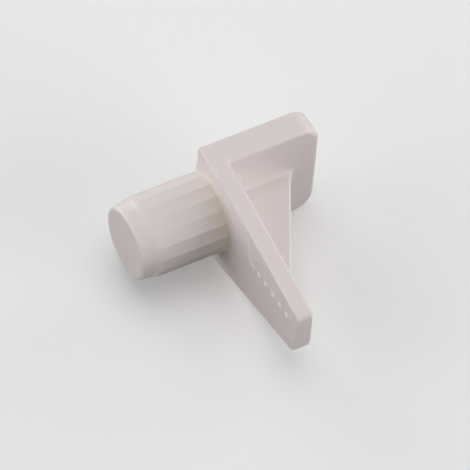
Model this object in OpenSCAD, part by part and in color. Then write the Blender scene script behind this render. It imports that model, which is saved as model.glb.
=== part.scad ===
// Shelf support: one moulding in hard plastic, pushed into a hole in the wall of a cabinet.
// A ribbed peg goes into the hole, a tapered back plate lies on the wall, and a plate with
// rounded front corners carries the shelf, stiffened underneath by a triangular web.
// Millimetres. The origin is the peg's axis where it meets the back face: +X points away
// from the wall, the peg points along -X, +Z is up and the part is symmetrical about Y = 0.

/* [Shelf plate] */
// Width of the shelf plate and of the top of the back plate
plate_w = 11.75; // [10:0.05:20]
// How far the shelf plate reaches out from the wall
shelf_reach = 11.6; // [10:0.05:20]
// Thickness of the shelf plate
shelf_t = 2.7; // [1.6:0.05:4]
// Radius of its two front corners, seen from above
corner_r = 2.05; // [0.8:0.05:4]
// Radius along the lower edge of its front and sides
rim_r = 0.5; // [0.1:0.05:0.7]

/* [Back plate] */
// Thickness of the back plate
back_t = 1.65; // [1:0.05:3]
// Height of the back plate, from the top of the shelf plate to the tip
back_h = 19.35; // [17.5:0.05:30]
// Height of its upper part with upright sides, above the taper
upright_h = 4.6; // [3:0.1:8]
// Width of the flat tip, measured between the unrounded corners
tip_w = 5.2; // [3:0.1:8]
// Radius of the two corners of the tip
tip_r = 1.05; // [0.2:0.05:1.4]

/* [Web] */
// Thickness of the web
web_t = 1.5; // [0.8:0.05:3]
// How far the web reaches out under the shelf plate, measured from the wall
web_reach = 8.7; // [5:0.1:9.2]
// How far below the top of the shelf plate the web ends on the back plate
web_drop = 15.5; // [10:0.1:16.5]
// Radius where the sloping edge of the web runs out at each end
web_end_r = 0.8; // [0.2:0.1:2]
// Radius along both sides of the web, where it joins the plates
web_side_r = 0.35; // [0.1:0.05:0.8]
// Radius in the inner corner between the two plates
inner_r = 0.45; // [0.1:0.05:0.9]

/* [Peg] */
// Height of the top of the shelf plate above the peg's axis
peg_drop = 3; // [2:0.1:8]
// Length of the peg, from the back face to its end
peg_l = 8.95; // [7:0.05:14]
// Diameter of the peg between its ribs
core_d = 7.8; // [5:0.1:8.8]
// Length of the tapered nose
nose_l = 1.3; // [1:0.1:3]
// How much smaller the radius is where the nose starts
nose_step = 0.15; // [0.1:0.05:0.5]
// Length of the step from the peg down to the nose
step_l = 0.3; // [0.1:0.05:0.6]
// How much smaller again it is at the end of the nose, before its edge is rounded
nose_taper = 0.15; // [0.1:0.05:0.5]
// Radius of the edge of the nose
nose_r = 0.3; // [0.1:0.05:1]
// Radius where the peg grows out of the back plate
root_r = 0.25; // [0.1:0.05:0.6]

/* [Ribs] */
// Number of ribs round the peg
rib_count = 18; // [6:1:24]
// How far each rib stands out from the peg at the back plate
rib_h = 0.1; // [0.06:0.02:0.4]
// How far it still stands out where it ends at the nose
rib_h_nose = 0.05; // [0.02:0.01:0.4]
// Width of a rib at its foot
rib_w = 0.85; // [0.3:0.05:0.9]
// Plain neck between the back plate and the start of the ribs
rib_start = 0.2; // [0.1:0.05:2]
// The same neck on the ribs that stand higher than the shelf plate
rib_start_high = 0.95; // [0.1:0.05:2]
// Plain end of the peg beyond the ribs
rib_end = 1.65; // [1:0.05:3]
// Length over which a rib rises at the neck
rise_neck = 0.25; // [0.1:0.05:1]
// Length over which a rib rises at the nose
rise_nose = 0.15; // [0.1:0.05:1]

/* [Hidden] */
$fn = 96;

// Heights of the four levels, from the peg's axis
z_top = peg_drop;
z_under = z_top - shelf_t;
z_web = z_top - web_drop;
z_tip = z_top - back_h;
core_r = core_d / 2;
// Fillets and the web reach this far into the pieces that they join
bond = rim_r / 2;
// The flanks and ramps of a rib are carried on into the peg by this share of their length
root_share = 0.25;

plastic = [0.93, 0.92, 0.9];

// Unit vector from one point towards another
function heading(from, to) = (to - from) / norm(to - from);
// Half of the angle that the directions from p to a and to b enclose
function half_angle(p, a, b) = acos(heading(p, a) * heading(p, b)) / 2;
// Where an arc of radius r between the directions p-a and p-b leaves the direction p-a
function arc_start(p, a, b, r) = p + heading(p, a) * r / tan(half_angle(p, a, b));
// The centre of that arc
function arc_centre(p, a, b, r) =
    p + heading([0, 0], heading(p, a) + heading(p, b)) * r / sin(half_angle(p, a, b));

// What a concave arc of radius r adds in the corner p between the directions to a and b
module corner_fill(p, a, b, r) {
    c = arc_centre(p, a, b, r);
    difference() {
        polygon([p, arc_start(p, a, b, r), c, arc_start(p, b, a, r)]);
        translate(c) circle(r);
    }
}

// Section of a fillet of radius r in the right-angled corner p, open towards plus on both axes
// and bonded into the material on the other sides
module fillet_section(p, r) {
    difference() {
        translate(p - [bond, bond]) square(bond + r);
        translate(p + [r, r]) circle(r);
    }
}

// The same fillet turned over, for a corner that is open below the shelf plate
module fillet_under(x, r) {
    translate([0, z_under]) mirror([0, 1]) fillet_section([x, 0], r);
}

// Extrudes an outline drawn in X and Z along Y, centred on Y = 0
module along_y(width) {
    rotate([90, 0, 0]) linear_extrude(width, center = true) children();
}

// Extrudes an outline drawn in Y and Z along X, starting at X = 0
module along_x(length) {
    rotate([90, 0, 90]) linear_extrude(length) children();
}

// Upper part of the section of the shelf plate from x = 0 to its edge, rounded below
module shelf_section(reach) {
    translate([0, z_under + rim_r]) square([reach, shelf_t - rim_r]);
    translate([0, z_under]) square([reach - rim_r, shelf_t]);
    intersection() {
        translate([0, z_under]) square([reach, shelf_t]);
        translate([reach - rim_r, z_under + rim_r]) circle(rim_r);
    }
}

// Plate that carries the shelf: its corners are turned from the same section as its sides
module shelf_plate() {
    corner_x = shelf_reach - corner_r;
    corner_y = plate_w / 2 - corner_r;
    along_y(2 * corner_y) shelf_section(shelf_reach);
    for (side = [0, 1]) mirror([0, side, 0]) {
        along_x(corner_x) shelf_section(plate_w / 2);
        translate([corner_x, corner_y, 0]) rotate_extrude() shelf_section(corner_r);
    }
}

// Plate that lies on the wall of the cabinet, tapered down to a flat tip
module back_plate() {
    shoulder = [plate_w / 2, z_top - upright_h];
    tip = [tip_w / 2, z_tip];
    foot = [0, z_tip];
    centre = arc_centre(tip, shoulder, foot, tip_r);
    for (side = [0, 1]) mirror([0, side, 0]) along_x(back_t) {
        polygon([
            [0, z_top], [plate_w / 2, z_top], shoulder,
            arc_start(tip, shoulder, foot, tip_r), centre, arc_start(tip, foot, shoulder, tip_r),
            foot
        ]);
        translate(centre) circle(tip_r);
    }
}

// Rounds the inner corner between the plates, and follows the shelf plate's lower edges
module inner_corner() {
    turn_y = plate_w / 2 - rim_r;
    turn_z = z_under + rim_r;
    intersection() {
        along_y(plate_w) translate([0, z_tip]) square([shelf_reach, back_h]);
        union() {
            along_y(2 * turn_y) fillet_under(back_t, inner_r);
            for (side = [-1, 1])
                translate([0, side * turn_y, turn_z]) rotate([0, 90, 0]) rotate_extrude()
                    fillet_section([rim_r, back_t], inner_r);
        }
    }
}

// Outline of the web, with both ends of its sloping edge eased into the plates
module web_outline() {
    out = [web_reach, z_under];
    low = [back_t, z_web];
    further_out = [shelf_reach, z_under];
    further_down = [back_t, z_tip];
    end_out = arc_start(out, further_out, low, web_end_r);
    end_low = arc_start(low, further_down, out, web_end_r);
    polygon([
        end_low - [bond, 0], [end_low.x - bond, end_out.y + bond], end_out + [0, bond],
        end_out, out, low, end_low
    ]);
    corner_fill(out, low, further_out, web_end_r);
    corner_fill(low, out, further_down, web_end_r);
}

// Triangular web in the middle plane, filleted along both plates
module web() {
    flare = web_t / 2 + web_side_r;
    intersection() {
        along_y(2 * flare) web_outline();
        union() {
            along_y(web_t) translate([0, z_tip]) square([shelf_reach, back_h]);
            for (side = [0, 1]) mirror([0, side, 0]) {
                along_x(shelf_reach) fillet_under(web_t / 2, web_side_r);
                translate([0, 0, z_tip]) linear_extrude(back_h)
                    fillet_section([back_t, web_t / 2], web_side_r);
            }
        }
    }
}

// Turned body of the peg, drawn as radius and distance from the back face
module peg_profile() {
    shoulder = [core_r - nose_step, peg_l - nose_l];
    edge = [shoulder.x - nose_taper, peg_l];
    middle = [0, peg_l];
    centre = arc_centre(edge, shoulder, middle, nose_r);
    polygon([
        [0, 0], [core_r, 0], [core_r, shoulder.y - step_l], shoulder,
        arc_start(edge, shoulder, middle, nose_r), centre, arc_start(edge, middle, shoulder, nose_r),
        middle
    ]);
    translate(centre) circle(nose_r);
}

// Fillet at the root of the peg, only where there is a back plate behind it
module peg_root() {
    intersection() {
        rotate([0, -90, 0]) rotate_extrude() fillet_section([core_r, 0], root_r);
        along_y(plate_w) translate([-root_r, z_tip]) square([root_r + bond, back_h]);
    }
}

// Point on the line from one point through another, carried on past it by root_share
function carried_on(from, through) = through + (through - from) * root_share;

// Section of one rib pointing along the first axis: a point on a straight-sided foot, which
// reaches into the peg as deep as the end of the nose
module rib_section() {
    crest = [core_r + rib_h, 0];
    foot = [sqrt(core_r ^ 2 - (rib_w / 2) ^ 2), rib_w / 2];
    flank = carried_on(crest, foot);
    base = foot.x - nose_step - nose_taper;
    polygon([crest, flank, [base, flank.y], [base, -flank.y], [flank.x, -flank.y]]);
}

// One rib from the back plate to the end of the peg, leaning towards the axis
module rib() {
    fall = atan((rib_h - rib_h_nose) / (peg_l - rib_end));
    rotate([0, -fall, 0]) linear_extrude(peg_l) rib_section();
}

// Turned envelope of ribs that start at a given place, with their ramps at both ends
module rib_envelope(start) {
    neck = [core_r, start];
    neck_top = [core_r + rib_h, start + rise_neck];
    nose = [core_r, peg_l - rib_end];
    nose_top = [core_r + rib_h_nose, nose.y - rise_nose];
    neck_low = carried_on(neck_top, neck);
    nose_low = carried_on(nose_top, nose);
    polygon([
        [0, neck_low.y], neck_low, carried_on(neck, neck_top),
        carried_on(nose, nose_top), nose_low, [0, nose_low.y]
    ]);
}

// Direction of each rib round the peg: one lies at each side, and none at the very top
function rib_angle(i) = 90 + i * 360 / rib_count;
// Whether a rib stands higher than the shelf plate
function is_high(i) = (core_r + rib_h) * cos(rib_angle(i)) > z_top;

// Peg with crush ribs
module peg() {
    rotate([0, -90, 0]) {
        rotate_extrude() peg_profile();
        for (high = [false, true]) intersection() {
            for (i = [0 : rib_count - 1]) if (is_high(i) == high) rotate(rib_angle(i)) rib();
            rotate_extrude() rib_envelope(high ? rib_start_high : rib_start);
        }
    }
    peg_root();
}

module shelf_support() {
    color(plastic) union() {
        shelf_plate();
        back_plate();
        inner_corner();
        web();
        peg();
    }
}

shelf_support();
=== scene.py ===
import math

import bmesh
import bpy
from mathutils import Matrix, Vector


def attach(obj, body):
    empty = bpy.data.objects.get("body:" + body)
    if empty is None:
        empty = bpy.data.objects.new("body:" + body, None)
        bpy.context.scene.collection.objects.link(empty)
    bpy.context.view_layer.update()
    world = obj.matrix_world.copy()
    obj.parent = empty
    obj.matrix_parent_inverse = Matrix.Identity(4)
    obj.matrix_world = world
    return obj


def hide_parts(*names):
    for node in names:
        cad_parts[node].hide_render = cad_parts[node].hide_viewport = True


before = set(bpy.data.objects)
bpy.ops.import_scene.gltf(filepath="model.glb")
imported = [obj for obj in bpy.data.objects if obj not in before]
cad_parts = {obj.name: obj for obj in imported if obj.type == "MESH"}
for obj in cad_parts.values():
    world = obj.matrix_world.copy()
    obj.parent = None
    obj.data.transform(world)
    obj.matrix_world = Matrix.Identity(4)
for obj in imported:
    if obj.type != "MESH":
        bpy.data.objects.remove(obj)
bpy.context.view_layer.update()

# ---------------------------------------------------------------- shelf plate
# The flat plate that the shelf lies on. Like the rest it is polypropylene, moulded in one shot
# with its neighbours; its top is crisp, its two front corners are round, and a soft radius runs
# along the lower edge of the front and sides. All forms are drawn in millimetres.
PLATE_WIDTH = 11.75
PLATE_REACH = 11.6
PLATE_TOP = 3.0
PLATE_THICKNESS = 2.7
PLATE_UNDER = PLATE_TOP - PLATE_THICKNESS
CORNER_RADIUS = 2.05
RIM_RADIUS = 0.5

moulded_forms = []


def arc(centre, radius, start, end, steps):
    """Points along an arc in a plane, from one angle to another in degrees."""
    angles = [math.radians(start + (end - start) * i / steps) for i in range(steps + 1)]
    return [(centre[0] + radius * math.cos(a), centre[1] + radius * math.sin(a)) for a in angles]


def skin_loops(name, loops):
    """A closed moulded form through loops of as many points each, capped at both ends."""
    mesh = bmesh.new()
    rings = [[mesh.verts.new(point) for point in loop] for loop in loops]
    for lower, upper in zip(rings, rings[1:]):
        for i, vertex in enumerate(lower):
            after = (i + 1) % len(lower)
            mesh.faces.new((vertex, lower[after], upper[after], upper[i]))
    mesh.faces.new(reversed(rings[0]))
    mesh.faces.new(rings[-1])
    bmesh.ops.triangulate(mesh, faces=mesh.faces)
    bmesh.ops.recalc_face_normals(mesh, faces=mesh.faces)
    data = bpy.data.meshes.new(name)
    mesh.to_mesh(data)
    mesh.free()
    form = bpy.data.objects.new(name, data)
    bpy.context.scene.collection.objects.link(form)
    moulded_forms.append(form)


def plate_outline(inset, height):
    """The plate's outline seen from above, drawn in by inset all round its open edge."""
    half, front, radius = PLATE_WIDTH / 2 - inset, PLATE_REACH - inset, CORNER_RADIUS - inset
    outline = arc((front - radius, radius - half), radius, -90, 0, 16)
    outline += arc((front - radius, half - radius), radius, 0, 90, 16)
    return [(x, y, height) for x, y in [(0, -half), *outline, (0, half)]]


rim = [(RIM_RADIUS * (1 - math.cos(math.radians(a))), RIM_RADIUS * (1 - math.sin(math.radians(a))))
       for a in range(90, -1, -10)]
skin_loops("shelf_plate_form", [plate_outline(inset, PLATE_UNDER + rise) for inset, rise in rim]
           + [plate_outline(0, PLATE_TOP)])

# ---------------------------------------------------------------- back plate
# The plate that lies on the wall of the cabinet and takes the load: upright at the top, then
# tapered to a narrow flat tip with two round corners. The soft corner between it and the shelf
# plate follows the lower rim round at both sides. Fillets reach into their walls by BOND.
BACK_THICKNESS = 1.65
BACK_HEIGHT = 19.35
UPRIGHT_HEIGHT = 4.6
TIP_WIDTH = 5.2
TIP_RADIUS = 1.05
INNER_RADIUS = 0.45
INNER_STEPS = 12
FILLET_STEPS = 10
BOND = 0.25


def back_outline():
    """The back plate's outline seen along X, as Y and Z, turning anticlockwise."""
    tip_z = PLATE_TOP - BACK_HEIGHT
    shoulder = Vector((PLATE_WIDTH / 2, PLATE_TOP - UPRIGHT_HEIGHT))
    tip = Vector((TIP_WIDTH / 2, tip_z))
    lean = math.degrees(math.atan2(shoulder.y - tip.y, shoulder.x - tip.x))
    middle = tip.x - TIP_RADIUS / math.tan(math.radians(180 - lean) / 2)
    right = arc((middle, tip_z + TIP_RADIUS), TIP_RADIUS, -90, lean - 90, 14)
    side = [*right, tuple(shoulder), (PLATE_WIDTH / 2, PLATE_TOP)]
    return side + [(-y, z) for y, z in reversed(side)]


def fillet(radius):
    """Section of a concave fillet open towards plus on both axes, bonded into both walls."""
    hollow = arc((radius, radius), radius, 270, 180, FILLET_STEPS)
    return [*hollow, (-BOND, radius), (-BOND, -BOND), (radius, -BOND)]


skin_loops("back_plate_form",
           [[(x, y, z) for y, z in back_outline()] for x in (0, BACK_THICKNESS)])

turn_y = PLATE_WIDTH / 2 - RIM_RADIUS
turn_z = PLATE_UNDER + RIM_RADIUS
for side in (-1, 1):
    inner_loops = [[(BACK_THICKNESS + u, 0, PLATE_UNDER - v) for u, v in fillet(INNER_RADIUS)]]
    for step in range(INNER_STEPS + 1):
        angle = math.radians(90 * step / INNER_STEPS)
        inner_loops.append([
            (BACK_THICKNESS + u,
             side * min(turn_y + (RIM_RADIUS + v) * math.sin(angle), PLATE_WIDTH / 2),
             turn_z - (RIM_RADIUS + v) * math.cos(angle))
            for u, v in fillet(INNER_RADIUS)])
    skin_loops(f"inner_corner_form_{side}", inner_loops)

# ---------------------------------------------------------------- web
# A thin triangular web in the middle plane stiffens the corner. Its sloping edge is eased into
# both plates with a small arc, and a fine fillet runs along both of its sides so that the melt
# flows into it and the part leaves the mould without tearing.
WEB_THICKNESS = 1.5
WEB_REACH = 8.7
WEB_DROP = 15.5
WEB_END_RADIUS = 0.8
WEB_SIDE_RADIUS = 0.35


def eased_corner(corner, towards, away, radius):
    """Arc that eases a line from towards into a wall that runs on to away, touching both."""
    to_line = (Vector(towards) - Vector(corner)).normalized()
    to_wall = (Vector(away) - Vector(corner)).normalized()
    half = to_line.angle(to_wall) / 2
    centre = Vector(corner) + (to_line + to_wall).normalized() * radius / math.sin(half)
    first = Vector(corner) + to_line * radius / math.tan(half) - centre
    last = Vector(corner) + to_wall * radius / math.tan(half) - centre
    turn = math.atan2(first.x * last.y - first.y * last.x, first.dot(last))
    return [centre + Matrix.Rotation(turn * i / FILLET_STEPS, 2) @ first
            for i in range(FILLET_STEPS + 1)]


web_foot = PLATE_TOP - WEB_DROP
under_end = eased_corner((WEB_REACH, PLATE_UNDER), (BACK_THICKNESS, web_foot),
                         (PLATE_REACH, PLATE_UNDER), WEB_END_RADIUS)
wall_end = eased_corner((BACK_THICKNESS, web_foot), (WEB_REACH, PLATE_UNDER),
                        (BACK_THICKNESS, PLATE_TOP - BACK_HEIGHT), WEB_END_RADIUS)
sloping_edge = [tuple(point) for point in [*reversed(wall_end), *under_end]]
web_outline = [(BACK_THICKNESS - BOND, PLATE_UNDER + BOND),
               (BACK_THICKNESS - BOND, sloping_edge[0][1]),
               *sloping_edge, (sloping_edge[-1][0], PLATE_UNDER + BOND)]
skin_loops("web_form", [[(x, y, z) for x, z in web_outline]
                        for y in (-WEB_THICKNESS / 2, WEB_THICKNESS / 2)])


def edge_at(level, axis):
    """Where the sloping edge of the web passes a level of X (axis 0) or of Z (axis 1)."""
    for low, high in zip(sloping_edge, sloping_edge[1:]):
        if low[axis] <= level <= high[axis]:
            share = (level - low[axis]) / (high[axis] - low[axis])
            return low[1 - axis] + share * (high[1 - axis] - low[1 - axis])
    return sloping_edge[-axis][1 - axis]


for side in (-1, 1):
    walls = [(side * (WEB_THICKNESS / 2 + u), v) for u, v in fillet(WEB_SIDE_RADIUS)]
    skin_loops(f"web_under_fillet_form_{side}", [
        [(BACK_THICKNESS, y, PLATE_UNDER - v) for y, v in walls],
        [(edge_at(PLATE_UNDER - v, 1), y, PLATE_UNDER - v) for y, v in walls]])
    skin_loops(f"web_wall_fillet_form_{side}", [
        [(BACK_THICKNESS + v, y, PLATE_UNDER) for y, v in walls],
        [(BACK_THICKNESS + v, y, edge_at(BACK_THICKNESS + v, 0)) for y, v in walls]])

# ---------------------------------------------------------------- peg
# The round peg that is pushed into the drilled hole. A small step leads down to a tapered nose
# with a soft edge, which finds the hole, and a fine fillet runs round the peg where it grows out
# of the back plate.
CORE_RADIUS = 3.9
PEG_LENGTH = 8.95
NOSE_LENGTH = 1.3
NOSE_STEP = 0.15
STEP_LENGTH = 0.3
NOSE_TAPER = 0.15
NOSE_RADIUS = 0.3
ROOT_RADIUS = 0.25
PEG_STEPS = 144

nose_lean = math.degrees(math.atan2(NOSE_LENGTH, NOSE_TAPER))
shoulder_radius = CORE_RADIUS - NOSE_STEP
nose_centre = shoulder_radius - NOSE_TAPER - NOSE_RADIUS * math.tan(math.radians(nose_lean) / 2)
nose_start = PEG_LENGTH - NOSE_LENGTH
peg_profile = [(CORE_RADIUS, 0), (CORE_RADIUS, nose_start - STEP_LENGTH),
               (shoulder_radius, nose_start)]
peg_profile += arc((nose_centre, PEG_LENGTH - NOSE_RADIUS), NOSE_RADIUS, 90 - nose_lean, 90, 10)


def turned(profile, top=math.inf):
    """Loops round the peg's axis for a profile of radius and distance from the back face."""
    turns = [math.tau * i / PEG_STEPS for i in range(PEG_STEPS)]
    return [[(-out, radius * math.cos(a), min(radius * math.sin(a), top)) for a in turns]
            for radius, out in profile]


skin_loops("peg_form", turned(peg_profile))
root_hollow = arc((ROOT_RADIUS, ROOT_RADIUS), ROOT_RADIUS, 270, 180, 6)
root_profile = [(CORE_RADIUS + ROOT_RADIUS, -BOND), *((CORE_RADIUS + u, v) for u, v in root_hollow),
                (CORE_RADIUS - BOND, ROOT_RADIUS)]
skin_loops("peg_root_form", turned(root_profile, PLATE_TOP))

# ---------------------------------------------------------------- crush ribs
# Eighteen fine ribs along the peg, pointed in section, a tenth of a millimetre high at the back
# plate and half of that at the nose. They are a little too big for the hole, so they crush as
# the peg goes in and hold it. The four at the top start further out than the others.
RIB_PITCH = math.radians(20)
RIB_STATIONS = 150
low_ribs = {"Ribs": 14, "First Rib": 2.5 * RIB_PITCH, "Pitch": RIB_PITCH,
            "Core Radius": CORE_RADIUS, "Rib Height": 0.1, "Nose Height": 0.05,
            "Rib Width": 0.85, "Foot Share": 1.25, "Foot Depth": NOSE_STEP + NOSE_TAPER,
            "Neck": 0.2, "Neck Ramp": 0.25, "Nose": PEG_LENGTH - 1.65, "Nose Ramp": 0.15,
            "Run Out": 0.12}
top_ribs = {**low_ribs, "Ribs": 4, "First Rib": -1.5 * RIB_PITCH, "Neck": 0.95}


class Socket:
    """Wraps a node's output, so that expressions on it add Math nodes to its tree."""

    def __init__(self, nodes, socket):
        self.nodes, self.socket = nodes, socket

    def maths(self, operation, *values):
        return self.nodes("ShaderNodeMath", {"operation": operation}, *values)

    def __add__(self, other):
        return self.maths("ADD", self, other)

    def __sub__(self, other):
        return self.maths("SUBTRACT", self, other)

    def __rsub__(self, other):
        return self.maths("SUBTRACT", other, self)

    def __mul__(self, other):
        return self.maths("MULTIPLY", self, other)

    def __truediv__(self, other):
        return self.maths("DIVIDE", self, other)

    def least(self, other):
        return self.maths("MINIMUM", self, other)

    def over(self, other):
        return self.maths("GREATER_THAN", self, other)

    def power(self, other):
        return self.maths("POWER", self, other)

    def sign(self):
        return self.maths("SIGN", self)

    __radd__, __rmul__ = __add__, __mul__


class Nodes:
    """Adds nodes to a tree: a type, its settings, then the values or links of its sockets."""

    def __init__(self, tree):
        self.tree = tree

    def __call__(self, kind, settings=None, *values, **named):
        node = self.tree.nodes.new(kind)
        for name, value in (settings or {}).items():
            setattr(node, name, value)
        pairs = [*zip([inlet for inlet in node.inputs if inlet.enabled], values)]
        pairs += [(node.inputs[name.replace("_", " ")], value) for name, value in named.items()]
        for inlet, value in pairs:
            if isinstance(value, Socket):
                self.tree.links.new(value.socket, inlet)
            else:
                inlet.default_value = value
        shown = [outlet for outlet in node.outputs if outlet.enabled]
        return Socket(self, shown[0]) if shown else node

    def output(self, socket, name):
        """Another output of the node that socket belongs to."""
        return Socket(self, socket.socket.node.outputs[name])


def new_tree(name, sizes):
    """A Geometry Nodes tree with one named input for each size, and its material."""
    tree = bpy.data.node_groups.new(name, "GeometryNodeTree")
    tree.interface.new_socket("Geometry", in_out="INPUT", socket_type="NodeSocketGeometry")
    for label, value in sizes.items():
        kind = "NodeSocketInt" if isinstance(value, int) else "NodeSocketFloat"
        tree.interface.new_socket(label, in_out="INPUT", socket_type=kind)
    tree.interface.new_socket("Finish", in_out="INPUT", socket_type="NodeSocketMaterial")
    tree.interface.new_socket("Geometry", in_out="OUTPUT", socket_type="NodeSocketGeometry")
    nodes = Nodes(tree)
    return tree, nodes, nodes("NodeGroupInput")


def finish_tree(nodes, geometry, entry):
    """Ends a tree: copies become real meshes and take the finish."""
    real = nodes("GeometryNodeRealizeInstances", None, geometry)
    dressed = nodes("GeometryNodeSetMaterial", None, real, Material=nodes.output(entry, "Finish"))
    nodes("NodeGroupOutput", None, dressed)


def bake_tree(name, tree, sizes, finish):
    """Runs a tree on an empty object and keeps the result as one more moulded form."""
    carrier = bpy.data.objects.new(name + "_carrier", bpy.data.meshes.new(name))
    bpy.context.scene.collection.objects.link(carrier)
    modifier = carrier.modifiers.new(name, "NODES")
    modifier.node_group = tree
    for item in tree.interface.items_tree:
        if item.in_out == "INPUT" and item.name != "Geometry":
            modifier[item.identifier] = finish if item.name == "Finish" else sizes[item.name]
    bpy.context.view_layer.update()
    evaluated = carrier.evaluated_get(bpy.context.evaluated_depsgraph_get())
    form = bpy.data.objects.new(name, bpy.data.meshes.new_from_object(evaluated))
    bpy.data.objects.remove(carrier)
    bpy.context.scene.collection.objects.link(form)
    moulded_forms.append(form)


plastic = bpy.data.materials.new("moulded_white_plastic")
rib_tree, nodes, entry = new_tree("crush_ribs", low_ribs)
size = {label: nodes.output(entry, label) for label in low_ribs}
bar = nodes("GeometryNodeMeshCylinder", {"fill_type": "NGON"}, 5, RIB_STATIONS, 1, 1.0, 1.0)
corner = nodes("ShaderNodeSeparateXYZ", None, nodes("GeometryNodeInputPosition"))
first = size["Neck"] - size["Run Out"]
run = size["Nose"] + size["Run Out"] - first
out = first + (nodes.output(corner, "Z") + 0.5) * run
fall = (size["Rib Height"] - size["Nose Height"]) * out / size["Nose"]
high = size["Core Radius"] + size["Rib Height"]
neck_line = size["Core Radius"] + size["Rib Height"] * (out - size["Neck"]) / size["Neck Ramp"]
nose_line = size["Core Radius"] + size["Nose Height"] * (size["Nose"] - out) / size["Nose Ramp"]
crest = (high - fall).least(neck_line).least(nose_line)
half = size["Rib Width"] / 2
foot = (size["Core Radius"].power(2) - half.power(2)).power(0.5)
flank = high - (high - foot) * size["Foot Share"] - fall
base = foot - size["Foot Depth"] - fall
on_top, above_base = nodes.output(corner, "X").over(0.9), nodes.output(corner, "X").over(0)
level = base + (flank - base) * above_base + (crest - flank) * on_top
across = nodes.output(corner, "Y").sign()
rib_place = nodes("ShaderNodeCombineXYZ", None, -1 * out,
                  across * half * size["Foot Share"] * (1 - on_top), level)
rib = nodes("GeometryNodeSetPosition", None, bar, Position=rib_place)
turn = nodes("GeometryNodeInputIndex") * size["Pitch"] + size["First Rib"]
centres = nodes("GeometryNodePoints", None, size["Ribs"])
spin = nodes("FunctionNodeEulerToRotation", None, nodes("ShaderNodeCombineXYZ", None, turn))
ring = nodes("GeometryNodeInstanceOnPoints", None, centres, Instance=rib, Rotation=spin)
finish_tree(nodes, ring, entry)
bake_tree("low_crush_ribs_form", rib_tree, low_ribs, plastic)
bake_tree("top_crush_ribs_form", rib_tree, top_ribs, plastic)

# ---------------------------------------------------------------- mould marks
# The back face carries what the mould leaves there: a row of small raised pips that count the
# cavity, a fine bent witness line of an insert, and on the top edge the stub of the gate. They
# are all moulded with the part and a little over a tenth of a millimetre high.
WITNESS_WIDTH = 0.38
WITNESS_HEIGHT = 0.12
WITNESS_BEND = (-1.0, -7.72)
GATE_Y = -3.4
GATE_RADIUS = 0.3
GATE_END_RADIUS = 0.16
GATE_HEIGHT = 0.12
GATE_SQUASH = 0.8
pip_sizes = {"Pips": 5, "Pitch": 1.3, "Pip Radius": 0.36, "Pip Height": 0.14,
             "Across": -1.0, "Highest": -9.4}
pip_tree, nodes, entry = new_tree("cavity_pips", pip_sizes)
size = {label: nodes.output(entry, label) for label in pip_sizes}
dome = nodes("GeometryNodeMeshUVSphere", None, 32, 16, 1.0)
flat = nodes("ShaderNodeCombineXYZ", None, size["Pip Height"], size["Pip Radius"],
             size["Pip Radius"])
pip = nodes("GeometryNodeTransform", None, dome, Scale=flat)
start = nodes("ShaderNodeCombineXYZ", None, 0.0, size["Across"], size["Highest"])
step = nodes("ShaderNodeCombineXYZ", None, 0.0, 0.0, size["Pitch"] * -1.0)
row = nodes("GeometryNodeMeshLine", None, size["Pips"], Start_Location=start, Offset=step)
finish_tree(nodes, nodes("GeometryNodeInstanceOnPoints", None, row, Instance=pip), entry)
bake_tree("cavity_pips_form", pip_tree, pip_sizes, plastic)


def raised_line(name, start, end):
    """A fine raised ridge on the back face between two points given as Y and Z."""
    along = (Vector(end) - Vector(start)).normalized()
    aside = Vector((-along.y, along.x)) * WITNESS_WIDTH / 2
    skin_loops(name, [[(BOND, *(point - aside)), (0, *(point - aside)), (-WITNESS_HEIGHT, *point),
                       (0, *(point + aside)), (BOND, *(point + aside))]
                      for point in (Vector(start), Vector(end))])


raised_line("upper_witness_form", (-3.9, -7.0), WITNESS_BEND)
raised_line("lower_witness_form", WITNESS_BEND, (-0.9, -8.7))
gate_turns = [math.tau * i / 16 for i in range(16)]
gate_profile = ((GATE_RADIUS, GATE_RADIUS), (0, GATE_RADIUS), (-GATE_HEIGHT, GATE_END_RADIUS))
skin_loops("gate_stub_form", [[(x, GATE_Y + radius * math.cos(a),
                                PLATE_TOP - GATE_HEIGHT + radius * GATE_SQUASH * math.sin(a))
                               for a in gate_turns] for x, radius in gate_profile])

# ---------------------------------------------------------------- the moulding
# All forms are filled by one shot of white polypropylene, so they are fused into one skin here.
# Steel can't cut a dead sharp corner and the melt never quite fills one, so every edge is eased
# by about a tenth of a millimetre.
FUSE_CELL = 0.05
FUSE_EASING = 0.5
SKIN_CELL = 0.108
SKIN_EASING = 0.3
MILLIMETRE = 0.001
DARKER_WHITE = (0.805, 0.733, 0.722, 1)
LIGHTER_WHITE = (0.835, 0.760, 0.749, 1)
# Painted shade: the darker, warmer colour painted round the root of the peg.
ROOT_SHADE_WHITE = (0.775, 0.705, 0.625, 1)
# Painted highlight: the paler colour painted on the raised marks below the peg.
MARK_HIGHLIGHT_WHITE = (0.90, 0.845, 0.835, 1)

bpy.context.view_layer.update()
joined = bmesh.new()
for form in moulded_forms:
    joined.from_mesh(form.data)
data = bpy.data.meshes.new("moulding")
joined.to_mesh(data)
joined.free()
for form in moulded_forms:
    bpy.data.objects.remove(form)
fused = bpy.data.objects.new("moulding_work", data)
bpy.context.scene.collection.objects.link(fused)
for cell, easing in ((FUSE_CELL, FUSE_EASING), (SKIN_CELL, SKIN_EASING)):
    fuse = fused.modifiers.new("fuse", "REMESH")
    fuse.mode, fuse.voxel_size, fuse.adaptivity = "VOXEL", cell, 0.0
    ease = fused.modifiers.new("ease", "SMOOTH")
    ease.factor, ease.iterations = easing, 1
bpy.context.view_layer.update()
eased = fused.evaluated_get(bpy.context.evaluated_depsgraph_get())
skin = bpy.data.meshes.new_from_object(eased)
bpy.data.objects.remove(fused)
skin.polygons.foreach_set("use_smooth", [True] * len(skin.polygons))
skin.transform(Matrix.Scale(MILLIMETRE, 4))
skin.materials.clear()
skin.materials.append(plastic)
moulding = bpy.data.objects.new("moulding", skin)
bpy.context.scene.collection.objects.link(moulding)
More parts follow.
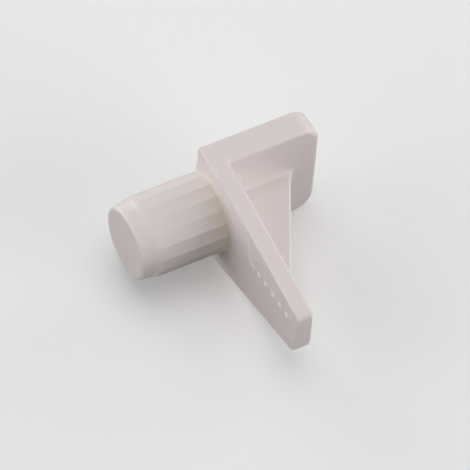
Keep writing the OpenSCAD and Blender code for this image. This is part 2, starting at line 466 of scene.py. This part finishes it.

# The plastic is slightly translucent, with a faint grain. Round the root of the peg its colour is
# painted darker and warmer, a painted shade for the shade in that corner and the warm light through
# the plastic there. That tone fades along the peg and out over the back face. The raised marks
# below the peg are painted paler, a painted highlight for the light that they catch.
plastic.use_nodes = True
plastic.node_tree.nodes.clear()
nodes = Nodes(plastic.node_tree)
spot = nodes("ShaderNodeMapping", None, nodes.output(nodes("ShaderNodeTexCoord"), "Object"),
             Scale=(1 / MILLIMETRE, 1 / MILLIMETRE, 1 / MILLIMETRE))
cloud = nodes("ShaderNodeTexNoise", None, spot, Scale=0.35, Detail=3.0)
grain = nodes("ShaderNodeTexNoise", None, spot, Scale=9.0, Detail=2.0)
place = nodes("ShaderNodeSeparateXYZ", None, spot)
past_back = nodes.output(place, "X") * -1.0
height = nodes.output(place, "Z")
from_axis = (nodes.output(place, "Y").power(2) + height.power(2)).power(0.5)
soft = {"interpolation_type": "SMOOTHSTEP"}
# Painted shade: darker and warmer round the root of the peg, fading along the peg and over the back
# face.
root_shade_mask = (nodes("ShaderNodeMapRange", soft, past_back, 0.6, 2.4, 1.0, 0.0)
           * nodes("ShaderNodeMapRange", soft, past_back, -0.3, -0.1, 0.0, 1.0)
           * nodes("ShaderNodeMapRange", soft, from_axis, 4.0, 5.2, 1.0, 0.0)
           * nodes("ShaderNodeMapRange", soft, height, -4.0, 3.5, 1.0, 0.35))
# Painted highlight: the raised marks below the peg are painted paler, for the light they catch.
mark_highlight_mask = (nodes("ShaderNodeMapRange", soft, past_back, 0.01, 0.06, 0.0, 1.0)
           * nodes("ShaderNodeMapRange", soft, height, -6.2, -5.2, 1.0, 0.0))
blend = {"data_type": "RGBA"}
clean = nodes("ShaderNodeMix", blend, cloud, DARKER_WHITE, LIGHTER_WHITE)
shaded_root_colour = nodes("ShaderNodeMix", blend, root_shade_mask, clean, ROOT_SHADE_WHITE)
colour = nodes("ShaderNodeMix", blend, mark_highlight_mask, shaded_root_colour, MARK_HIGHLIGHT_WHITE)
rough = 0.42 + 0.12 * grain
bump = nodes("ShaderNodeBump", None, Strength=0.15, Distance=0.00002, Height=grain)
surface = nodes("ShaderNodeBsdfPrincipled", None, Base_Color=colour, Roughness=rough, Normal=bump,
                IOR=1.49, Subsurface_Weight=0.25, Subsurface_Radius=(0.8, 0.75, 0.7),
                Subsurface_Scale=MILLIMETRE)
nodes("ShaderNodeOutputMaterial", None, surface)
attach(moulding, "root")
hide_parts("shelf_support")

# ---------------------------------------------------------------- table top
# A plain pale table that the part lies on, on its left side, with a soft shadow under it. Seen
# from behind it is clear, so that no view is blocked. Light straight from below passes it, but
# only a quarter of it beside the peg, whose lower flank stays in shade.
TABLE_Y = 0.00589
TABLE_RADIUS = 0.2
TABLE_WHITE = (1, 1, 1, 1)
TABLE_DARK = (0.12, 0.12, 0.12, 1)
STEEP_FACING = 0.02
PEG_SHARE = 0.25
table = bpy.data.meshes.new("table_top")
disc = bmesh.new()
lying = Matrix.Translation((0, TABLE_Y, 0)) @ Matrix.Rotation(math.radians(90), 4, "X")
bmesh.ops.create_circle(disc, cap_ends=True, segments=96, radius=TABLE_RADIUS, matrix=lying)
disc.to_mesh(table)
disc.free()
table_top = bpy.data.objects.new("table_top", table)
bpy.context.scene.collection.objects.link(table_top)
paper = bpy.data.materials.new("pale_paper")
paper.use_nodes = True
paper.node_tree.nodes.clear()
nodes = Nodes(paper.node_tree)
pale = nodes("ShaderNodeBsdfDiffuse", None, TABLE_WHITE)
dark = nodes("ShaderNodeBsdfDiffuse", None, TABLE_DARK)
ray = nodes("ShaderNodeLightPath")
clear = nodes("ShaderNodeBsdfTransparent")
surface = nodes("ShaderNodeNewGeometry")
slant = nodes.output(nodes("ShaderNodeLayerWeight", None, 0.5), "Facing")
steep = 1 - slant.over(STEEP_FACING)
place = nodes("ShaderNodeSeparateXYZ", None, nodes.output(surface, "Position"))
past_wall = nodes.output(place, "X").over(0.0)
passing = steep * (past_wall * (1 - PEG_SHARE) + PEG_SHARE)
unseen = nodes("ShaderNodeMixShader", None, passing, dark, clear)
seen = nodes("ShaderNodeMixShader", None, nodes.output(ray, "Is Camera Ray"), unseen, pale)
behind = nodes.output(surface, "Backfacing")
nodes("ShaderNodeOutputMaterial", None, nodes("ShaderNodeMixShader", None, behind, seen, clear))
table.materials.append(paper)

# ---------------------------------------------------------------- light
# Plain soft light from a white room and large round soft boxes, one overhead and five low round
# the table, and from one farther down under it, so that no side is in the dark. A box's level is
# the light that it sheds on a surface turned towards it.
ROOM_LEVEL = 0.24
BACKDROP = (0.8, 0.8, 0.8, 1)
NEAR, FAR = 0.5, 1.4
BOX_RADIUS = 0.25
world = bpy.data.worlds.new("studio")
bpy.context.scene.world = world
world.use_nodes = True
world.node_tree.nodes.clear()
nodes = Nodes(world.node_tree)
room = nodes("ShaderNodeBackground", None, (1, 1, 1, 1), ROOM_LEVEL)
backdrop = nodes("ShaderNodeBackground", None, BACKDROP, 1.0)
ray = nodes("ShaderNodeLightPath")
nodes("ShaderNodeOutputWorld", None,
      nodes("ShaderNodeMixShader", None, nodes.output(ray, "Is Camera Ray"), room, backdrop))

soft_boxes = {"overhead": ((0.0, -1.0, 0.0), NEAR, 0.235),
              "front": ((0.98, -0.1, 0.15), NEAR, 0.36),
              "below": ((0.62, -0.1, -0.78), NEAR, 0.555),
              "above": ((-0.15, -0.1, 0.98), NEAR, 0.51),
              "behind": ((-0.93, -0.1, 0.36), NEAR, 0.31),
              "behind_low": ((-0.98, -0.1, -0.15), NEAR, 0.27),
              "underneath": ((0.0, 1.0, 0.0), FAR, 0.36)}
for name, (direction, distance, level) in soft_boxes.items():
    box_data = bpy.data.lights.new(name + "_soft_box", "AREA")
    box_data.shape = "DISK"
    box_data.size = 2 * BOX_RADIUS
    box_data.energy = level * math.pi ** 2 * (BOX_RADIUS ** 2 + distance ** 2)
    soft_box = bpy.data.objects.new(name + "_soft_box", box_data)
    soft_box.location = Vector(direction).normalized() * distance
    soft_box.rotation_euler = (-soft_box.location).to_track_quat("-Z", "Y").to_euler()
    bpy.context.scene.collection.objects.link(soft_box)

# ---------------------------------------------------------------- camera
# A long lens above the table, looking at the underside and the back of the part from about
# three tenths of a metre away.
CAMERA_PLACE = (-0.0999717, -0.2390581, -0.1645047)
CAMERA_AHEAD = (0.329718, 0.783187, 0.527166)
CAMERA_UP = (0.347914, -0.619892, 0.703342)
CAMERA_LENS = 252.513

camera_data = bpy.data.cameras.new("camera")
camera_data.sensor_width = 36
camera_data.lens = CAMERA_LENS
camera_data.clip_start, camera_data.clip_end = 0.01, 10
camera = bpy.data.objects.new("camera", camera_data)
ahead = Vector(CAMERA_AHEAD).normalized()
right = ahead.cross(Vector(CAMERA_UP)).normalized()
upward = right.cross(ahead)
camera.matrix_world = (Matrix.Translation(CAMERA_PLACE)
                       @ Matrix((right, upward, -ahead)).transposed().to_4x4())
bpy.context.scene.collection.objects.link(camera)
bpy.context.scene.camera = camera

bpy.context.scene.view_settings.view_transform = "Standard"
